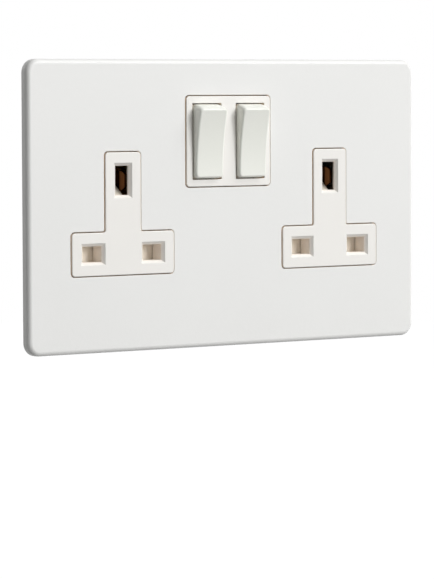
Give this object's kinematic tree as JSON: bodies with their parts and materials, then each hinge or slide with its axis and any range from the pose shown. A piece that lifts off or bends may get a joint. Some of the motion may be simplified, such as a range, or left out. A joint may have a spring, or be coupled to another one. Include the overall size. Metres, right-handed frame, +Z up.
{
  "type": "twin switched wall socket",
  "caption": "White screwless wall plate with a pair of three-pin power outlets, sprung pin shutters and two rocker switches, its contacts and terminals in a box behind.",
  "frame": {"origin": "midway between the two wall fixing holes, in the plane of the wall's face", "axes": "+X to the right seen from the front, -Y out of the wall, +Z up"},
  "size_m": [0.1492, 0.0297, 0.0892],
  "materials": {
    "painted_plate": "satin",
    "frame_plastic": "matt",
    "insert_plastic": "satin",
    "cover_plastic": "matt",
    "rocker_plastic": "satin",
    "shutter_plastic": "satin",
    "brass": "rolled",
    "copper_alloy": "rolled",
    "silver_contact": "satin",
    "spring_steel": "drawn",
    "screw_steel": "plated"
  },
  "bodies": {
    "socket": {"front_plate": "painted_plate", "backing_frame": "frame_plastic", "socket_moulding": "insert_plastic", "rear_housing": "cover_plastic", "line_bar": "brass", "neutral_bar": "brass", "earth_bar": "copper_alloy", "line_terminal": "brass", "neutral_terminal": "brass", "earth_terminal": "brass", "fixed_contact_tips": "silver_contact", "cover_screws": "screw_steel", "frame_screws": "screw_steel", "terminal_screws": "brass", "left_shutter_spring": "spring_steel", "left_shutter_retainer": "frame_plastic", "left_line_contact": "brass", "right_shutter_spring": "spring_steel", "right_shutter_retainer": "frame_plastic", "right_line_contact": "brass"},
    "left_switch": {"left_rocker": "rocker_plastic", "left_rocker_plunger": "shutter_plastic", "left_rocker_spring": "spring_steel"},
    "left_seesaw": {"left_moving_contact": "brass", "left_moving_tip": "silver_contact"},
    "left_slide": {"left_shutter": "shutter_plastic"},
    "right_switch": {"right_rocker": "rocker_plastic", "right_rocker_plunger": "shutter_plastic", "right_rocker_spring": "spring_steel"},
    "right_seesaw": {"right_moving_contact": "brass", "right_moving_tip": "silver_contact"},
    "right_slide": {"right_shutter": "shutter_plastic"}
  },
  "joints": [
    {"name": "left_rocker_hinge", "type": "hinge", "parent": "socket", "child": "left_switch", "pos_m": [-0.00834, -0.0014, 0.01925], "axis": [-1, 0, 0], "range_deg": [0, 14]},
    {"name": "left_seesaw_hinge", "type": "hinge", "parent": "socket", "child": "left_seesaw", "pos_m": [-0.00834, 0.01282, 0.01925], "axis": [1, 0, 0], "range_deg": [0, 12]},
    {"name": "left_shutter_slide", "type": "slide", "parent": "socket", "child": "left_slide", "axis": [0, 0, -1], "range_m": [0, 0.0058], "stiffness_N_per_m": 150, "springref_m": -0.003, "deforming": ["left_shutter_spring"]},
    {"name": "right_rocker_hinge", "type": "hinge", "parent": "socket", "child": "right_switch", "pos_m": [0.00834, -0.0014, 0.01925], "axis": [-1, 0, 0], "range_deg": [0, 14]},
    {"name": "right_seesaw_hinge", "type": "hinge", "parent": "socket", "child": "right_seesaw", "pos_m": [0.00834, 0.01282, 0.01925], "axis": [1, 0, 0], "range_deg": [0, 12]},
    {"name": "right_shutter_slide", "type": "slide", "parent": "socket", "child": "right_slide", "axis": [0, 0, -1], "range_m": [0, 0.0058], "stiffness_N_per_m": 150, "springref_m": -0.003, "deforming": ["right_shutter_spring"]}
  ],
  "couplings": [
    {"joint": "left_seesaw_hinge", "follows": "left_rocker_hinge", "ratio": 0.85714},
    {"joint": "right_seesaw_hinge", "follows": "right_rocker_hinge", "ratio": 0.85714}
  ]
}
